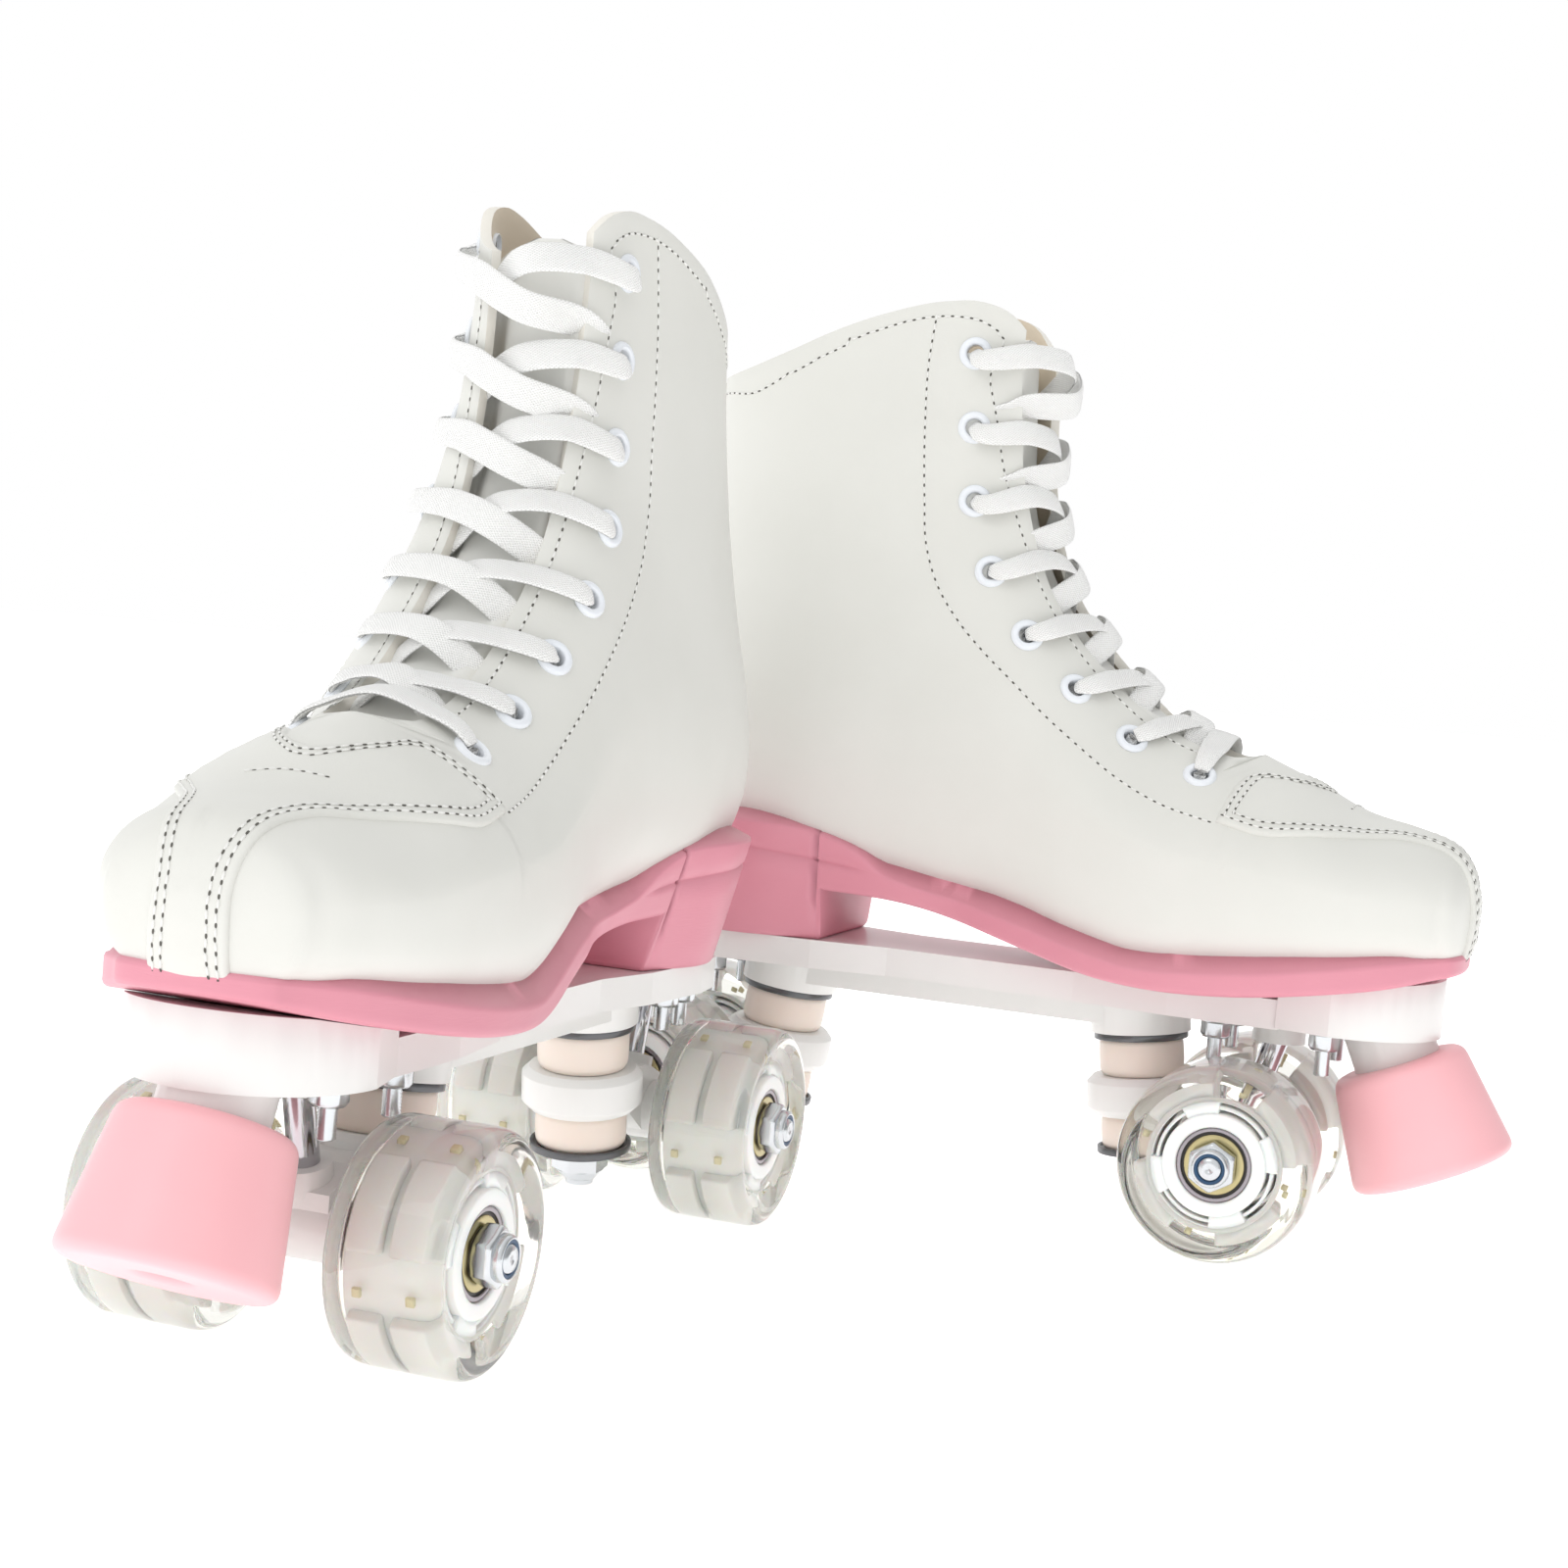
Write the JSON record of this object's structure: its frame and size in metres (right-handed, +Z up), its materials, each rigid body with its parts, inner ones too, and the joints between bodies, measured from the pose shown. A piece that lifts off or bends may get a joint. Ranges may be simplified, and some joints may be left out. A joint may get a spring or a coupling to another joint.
{
  "type": "quad roller skates",
  "caption": "Pair of high-top lace-up quad roller skates: padded boots on plates with sprung trucks, clear wheels and toe stops.",
  "frame": {"origin": "on the floor under the middle of the pair's box, with both skates standing on their wheels", "axes": "+Z up; the right skate's toe points mainly towards -Y and the left skate's toe mainly towards +X, about 91 degrees apart"},
  "size_m": [0.3844, 0.3924, 0.2796],
  "materials": {
    "boot_leather": "smooth coated leather, satin, white",
    "tongue_leather": "smooth coated leather over foam, white",
    "lace_cotton": "flat woven lace, matt white",
    "eyelet_enamel": "gloss enamel, pale blue-white",
    "sole_rubber": "moulded rubber, satin, dusty pink",
    "insole_board": "lined fibre board, beige",
    "plate_nylon": "moulded nylon, satin, white",
    "stop_rubber": "moulded rubber, satin, pale pink",
    "zinc_steel": "bright zinc plate",
    "cushion_rubber": "moulded urethane, satin, cream",
    "dark_steel": "pressed steel, dark grey zinc",
    "chrome_steel": "polished chrome",
    "bearing_steel": "ground steel with brass-yellow shields",
    "clear_urethane": "cast clear urethane, gloss, faint warm tint",
    "hub_plastic": "moulded translucent white plastic"
  },
  "bodies": {
    "right_skate": {"right_upper": "boot_leather", "right_tongue": "tongue_leather", "right_laces": "lace_cotton", "right_eyelets": "eyelet_enamel", "right_outsole": "sole_rubber", "right_insole": "insole_board", "right_plate": "plate_nylon", "right_toe_stop": "stop_rubber", "right_mounting_bolts": "zinc_steel", "right_kingpins": "zinc_steel", "right_cushions": "cushion_rubber", "right_cup_washers": "dark_steel"},
    "right_front_truck": {"right_front_hanger": "plate_nylon", "right_front_axle": "zinc_steel", "right_front_axle_nuts": "zinc_steel", "right_front_pivot_pin": "chrome_steel", "right_front_bearings": "bearing_steel"},
    "right_front_inner_wheel": {"right_front_inner_tyre": "clear_urethane", "right_front_inner_hub": "hub_plastic"},
    "right_front_outer_wheel": {"right_front_outer_tyre": "clear_urethane", "right_front_outer_hub": "hub_plastic"},
    "right_rear_truck": {"right_rear_hanger": "plate_nylon", "right_rear_axle": "zinc_steel", "right_rear_axle_nuts": "zinc_steel", "right_rear_pivot_pin": "chrome_steel", "right_rear_bearings": "bearing_steel"},
    "right_rear_inner_wheel": {"right_rear_inner_tyre": "clear_urethane", "right_rear_inner_hub": "hub_plastic"},
    "right_rear_outer_wheel": {"right_rear_outer_tyre": "clear_urethane", "right_rear_outer_hub": "hub_plastic"},
    "left_skate": {"left_upper": "boot_leather", "left_tongue": "tongue_leather", "left_laces": "lace_cotton", "left_eyelets": "eyelet_enamel", "left_outsole": "sole_rubber", "left_insole": "insole_board", "left_plate": "plate_nylon", "left_toe_stop": "stop_rubber", "left_mounting_bolts": "zinc_steel", "left_kingpins": "zinc_steel", "left_cushions": "cushion_rubber", "left_cup_washers": "dark_steel"},
    "left_front_truck": {"left_front_hanger": "plate_nylon", "left_front_axle": "zinc_steel", "left_front_axle_nuts": "zinc_steel", "left_front_pivot_pin": "chrome_steel", "left_front_bearings": "bearing_steel"},
    "left_front_inner_wheel": {"left_front_inner_tyre": "clear_urethane", "left_front_inner_hub": "hub_plastic"},
    "left_front_outer_wheel": {"left_front_outer_tyre": "clear_urethane", "left_front_outer_hub": "hub_plastic"},
    "left_rear_truck": {"left_rear_hanger": "plate_nylon", "left_rear_axle": "zinc_steel", "left_rear_axle_nuts": "zinc_steel", "left_rear_pivot_pin": "chrome_steel", "left_rear_bearings": "bearing_steel"},
    "left_rear_inner_wheel": {"left_rear_inner_tyre": "clear_urethane", "left_rear_inner_hub": "hub_plastic"},
    "left_rear_outer_wheel": {"left_rear_outer_tyre": "clear_urethane", "left_rear_outer_hub": "hub_plastic"}
  },
  "joints": [
    {"name": "right_front_steer", "type": "hinge", "parent": "right_skate", "child": "right_front_truck", "pos_m": [-0.14072, -0.1274, 0.0636], "axis": [-0.2928, -0.8045, 0.5167], "range_deg": [-8, 8], "stiffness_Nm_per_rad": 15, "deforming": ["right_cushions"]},
    {"name": "right_front_inner_spin", "type": "hinge", "parent": "right_front_truck", "child": "right_front_inner_wheel", "pos_m": [-0.10573, -0.13056, 0.029], "axis": [0.9397, -0.342, 0], "continuous": true},
    {"name": "right_front_outer_spin", "type": "hinge", "parent": "right_front_truck", "child": "right_front_outer_wheel", "pos_m": [-0.16954, -0.10733, 0.029], "axis": [0.9397, -0.342, 0], "continuous": true},
    {"name": "right_rear_steer", "type": "hinge", "parent": "right_skate", "child": "right_rear_truck", "pos_m": [-0.07163, 0.06242, 0.0636], "axis": [0.2928, 0.8045, 0.5167], "range_deg": [-8, 8], "stiffness_Nm_per_rad": 15},
    {"name": "right_rear_inner_spin", "type": "hinge", "parent": "right_rear_truck", "child": "right_rear_inner_wheel", "pos_m": [-0.0428, 0.04235, 0.029], "axis": [0.9397, -0.342, 0], "continuous": true},
    {"name": "right_rear_outer_spin", "type": "hinge", "parent": "right_rear_truck", "child": "right_rear_outer_wheel", "pos_m": [-0.10661, 0.06557, 0.029], "axis": [0.9397, -0.342, 0], "continuous": true},
    {"name": "left_front_steer", "type": "hinge", "parent": "left_skate", "child": "left_front_truck", "pos_m": [0.12321, 0.07829, 0.0636], "axis": [0.8085, -0.2816, 0.5167], "range_deg": [-8, 8], "stiffness_Nm_per_rad": 15, "deforming": ["left_cushions"]},
    {"name": "left_front_inner_spin", "type": "hinge", "parent": "left_front_truck", "child": "left_front_inner_wheel", "pos_m": [0.10355, 0.04919, 0.029], "axis": [-0.3289, -0.9444, 0], "continuous": true},
    {"name": "left_front_outer_spin", "type": "hinge", "parent": "left_front_truck", "child": "left_front_outer_wheel", "pos_m": [0.12588, 0.11331, 0.029], "axis": [-0.3289, -0.9444, 0], "continuous": true},
    {"name": "left_rear_steer", "type": "hinge", "parent": "left_skate", "child": "left_rear_truck", "pos_m": [-0.06755, 0.14472, 0.0636], "axis": [-0.8085, 0.2816, 0.5167], "range_deg": [-8, 8], "stiffness_Nm_per_rad": 15},
    {"name": "left_rear_inner_spin", "type": "hinge", "parent": "left_rear_truck", "child": "left_rear_inner_wheel", "pos_m": [-0.07022, 0.1097, 0.029], "axis": [-0.3289, -0.9444, 0], "continuous": true},
    {"name": "left_rear_outer_spin", "type": "hinge", "parent": "left_rear_truck", "child": "left_rear_outer_wheel", "pos_m": [-0.04789, 0.17383, 0.029], "axis": [-0.3289, -0.9444, 0], "continuous": true},
    {"name": "left_skate_lift", "type": "slide", "parent": "right_skate", "child": "left_skate", "axis": [0, 0, 1], "range_m": [0, 0.35]}
  ]
}
